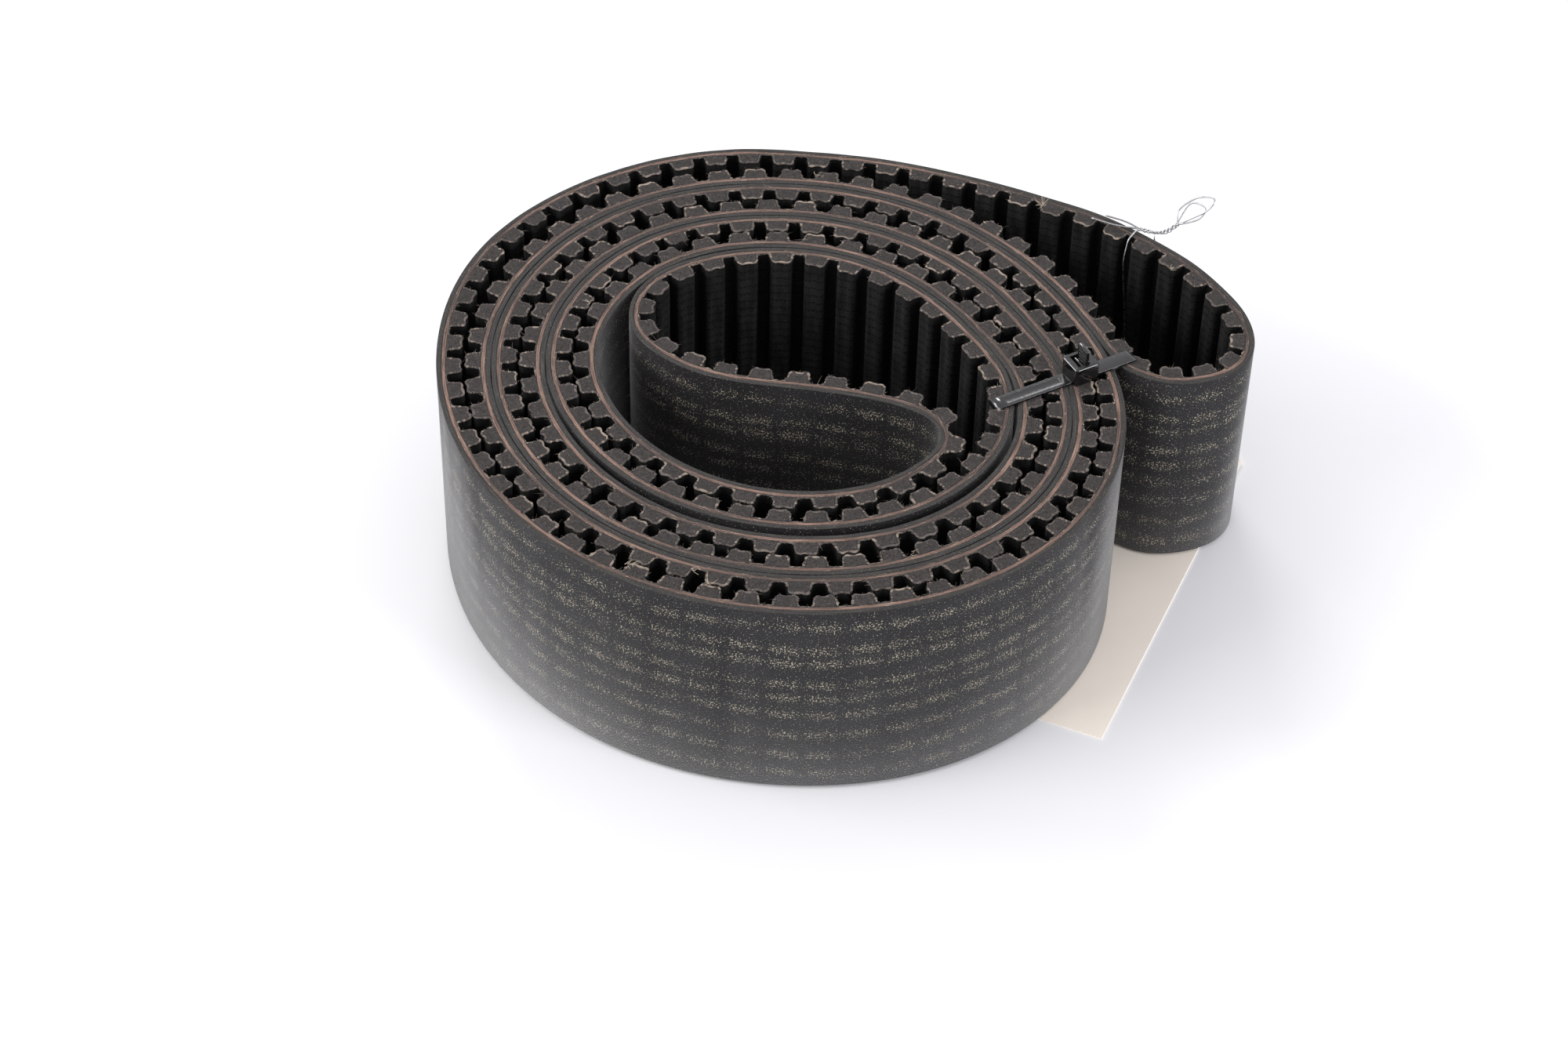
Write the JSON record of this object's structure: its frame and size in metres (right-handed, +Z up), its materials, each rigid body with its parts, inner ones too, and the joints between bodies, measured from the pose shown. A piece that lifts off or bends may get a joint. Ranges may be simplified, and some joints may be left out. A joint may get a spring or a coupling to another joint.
{
  "type": "timing belt",
  "caption": "Closed toothed drive belt, stored doubled and wound into a flat coil held by a cable tie, with a wired-on card tag.",
  "frame": {"origin": "middle of the outline's box seen from above, on the surface the coil lies on", "axes": "+Z up, across the belt's width; +X towards the coil's free loop"},
  "size_m": [0.1796, 0.1513, 0.0608],
  "materials": {
    "backing_rubber": "matte, finely speckled",
    "cord_layer": "matte fibrous cut edge",
    "tooth_rubber": "matte, ground cut edge",
    "tooth_fabric": "black woven nylon",
    "tie_nylon": "glossy black nylon",
    "card": "plain manila card",
    "patch_card": "plain paper ring",
    "wire_steel": "thin bare wire"
  },
  "bodies": {
    "coiled_belt": {"belt_backing": "backing_rubber", "tensile_cord_layer": "cord_layer", "tooth_cores": "tooth_rubber", "tooth_facing": "tooth_fabric", "cable_tie_strap": "tie_nylon", "cable_tie_head": "tie_nylon", "tag_wire": "wire_steel"},
    "tie_pawl": {"cable_tie_pawl": "tie_nylon"},
    "tag": {"tag_card": "card", "tag_patch_upper": "patch_card", "tag_patch_lower": "patch_card"}
  },
  "joints": [
    {"name": "pawl_flex", "type": "hinge", "parent": "coiled_belt", "child": "tie_pawl", "pos_m": [0.04615, -0.00195, 0.05245], "axis": [0.4975, -0.8674, 0], "range_deg": [0, 12], "stiffness_Nm_per_rad": 0.02},
    {"name": "tag_swing", "type": "hinge", "parent": "coiled_belt", "child": "tag", "pos_m": [0.06558, 0.04065, 0.0005], "axis": [0, 0, 1], "range_deg": [-12, 12]}
  ]
}
